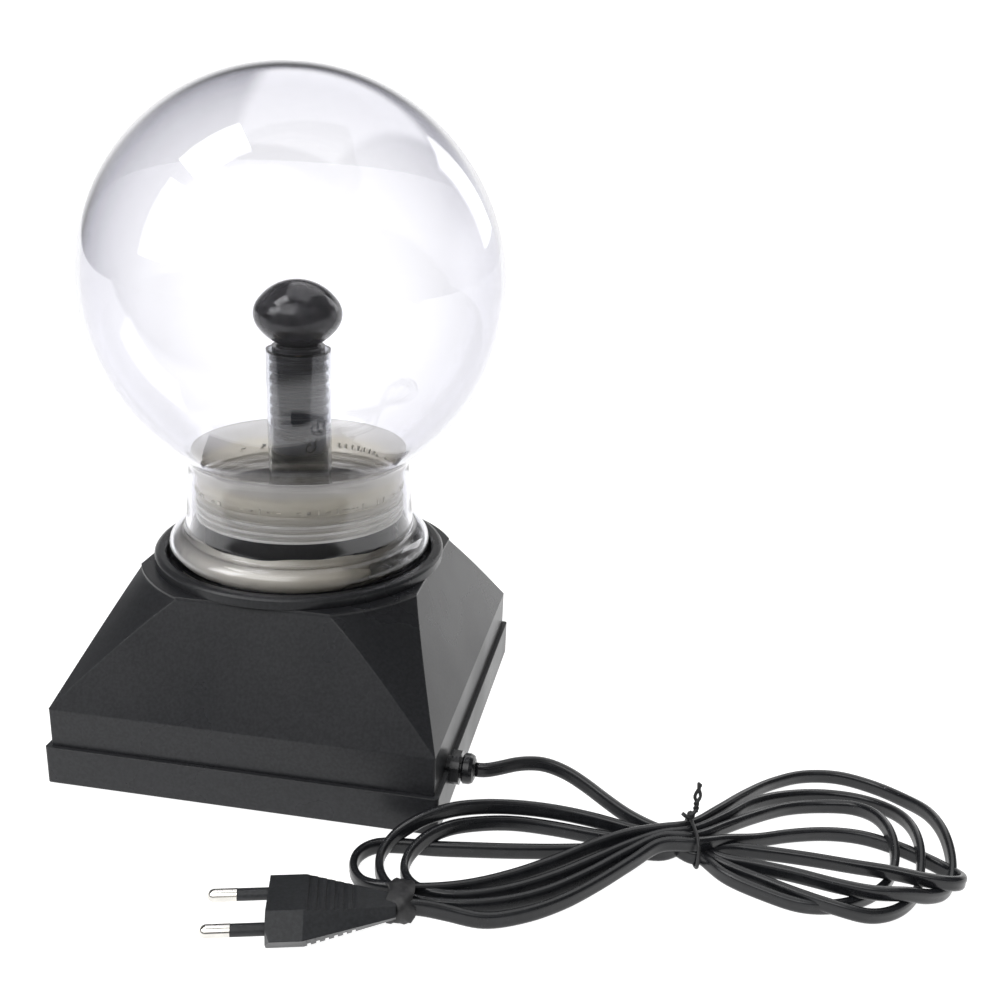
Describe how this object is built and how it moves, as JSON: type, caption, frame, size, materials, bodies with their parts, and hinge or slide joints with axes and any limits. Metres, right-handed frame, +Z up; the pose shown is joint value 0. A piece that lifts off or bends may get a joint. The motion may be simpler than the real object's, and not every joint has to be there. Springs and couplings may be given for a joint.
{
  "type": "plasma ball",
  "caption": "Plasma ball lamp: clear glass globe with a ball electrode on a ribbed stem, on a black tapered square base with a rear slide switch, cord and two-pin plug.",
  "frame": {"origin": "centre of the floor plane under the globe's axis, at the bottom of the rubber feet", "axes": "+Z up through the globe; the front face is towards -Y, the switch is at the back (+Y) and the cord leaves the +X face"},
  "size_m": [0.319, 0.218, 0.248],
  "materials": {
    "clear_glass": "clear polished glass",
    "black_gloss": "semi-gloss moulded black",
    "sealant": "cream sealing compound",
    "foot_rubber": "matt",
    "steel": "zinc plated",
    "ball_coating": "glossy charcoal conductive coating",
    "core_dark": "dark satin",
    "brass": "bright",
    "insert_clear": "translucent",
    "grey_plastic": "satin grey",
    "laminate": "satin",
    "lamination": "varnished laminations",
    "winding_tape": "yellow tape",
    "ferrite": "dull ferrite",
    "potting": "potting compound",
    "copper_wire": "enamelled copper",
    "aluminium": "extruded",
    "cap_sleeve": "shrink sleeve",
    "film_red": "dipped",
    "resistor_body": "lacquered",
    "red_wire": "silicone",
    "lead_wire": "pvc",
    "switch_black": "satin",
    "cord_black": "glossy pvc",
    "nickel": "nickel plated"
  },
  "bodies": {
    "base": {"globe": "clear_glass", "seal_ring": "sealant", "collar_ring": "black_gloss", "housing": "black_gloss", "base_tray": "black_gloss", "housing_screws": "steel", "rubber_feet": "foot_rubber", "electrode_ball": "ball_coating", "electrode_collar": "ball_coating", "electrode_tube": "clear_glass", "electrode_core": "core_dark", "core_base": "core_dark", "electrode_contact": "brass", "neck_insert": "insert_clear", "neck_floor": "grey_plastic", "circuit_board": "laminate", "board_screws": "steel", "transformer_core": "lamination", "transformer_winding": "winding_tape", "flyback_core": "ferrite", "flyback_secondary": "potting", "flyback_primary": "copper_wire", "heatsink": "aluminium", "power_transistor": "potting", "transistor_screw": "steel", "electrolytics": "cap_sleeve", "film_capacitor": "film_red", "resistors": "resistor_body", "diodes": "potting", "controller_chip": "potting", "microphone": "aluminium", "fuse": "clear_glass", "fuse_clips": "brass", "high_voltage_lead": "red_wire", "mains_leads": "lead_wire", "switch_leads": "lead_wire", "switch_body": "switch_black", "switch_flange": "steel", "switch_screws": "steel", "strain_relief": "cord_black", "cord_lead": "cord_black", "cord_hank": "cord_black", "twist_tie": "cord_black", "plug_tie": "cord_black", "plug_body": "cord_black", "plug_pins": "nickel", "pin_sleeves": "cord_black"},
    "switch_knob": {"switch_slider": "switch_black"}
  },
  "joints": [
    {"name": "switch_slide", "type": "slide", "parent": "base", "child": "switch_knob", "axis": [1, 0, 0], "range_m": [-0.003, 0.003]}
  ]
}
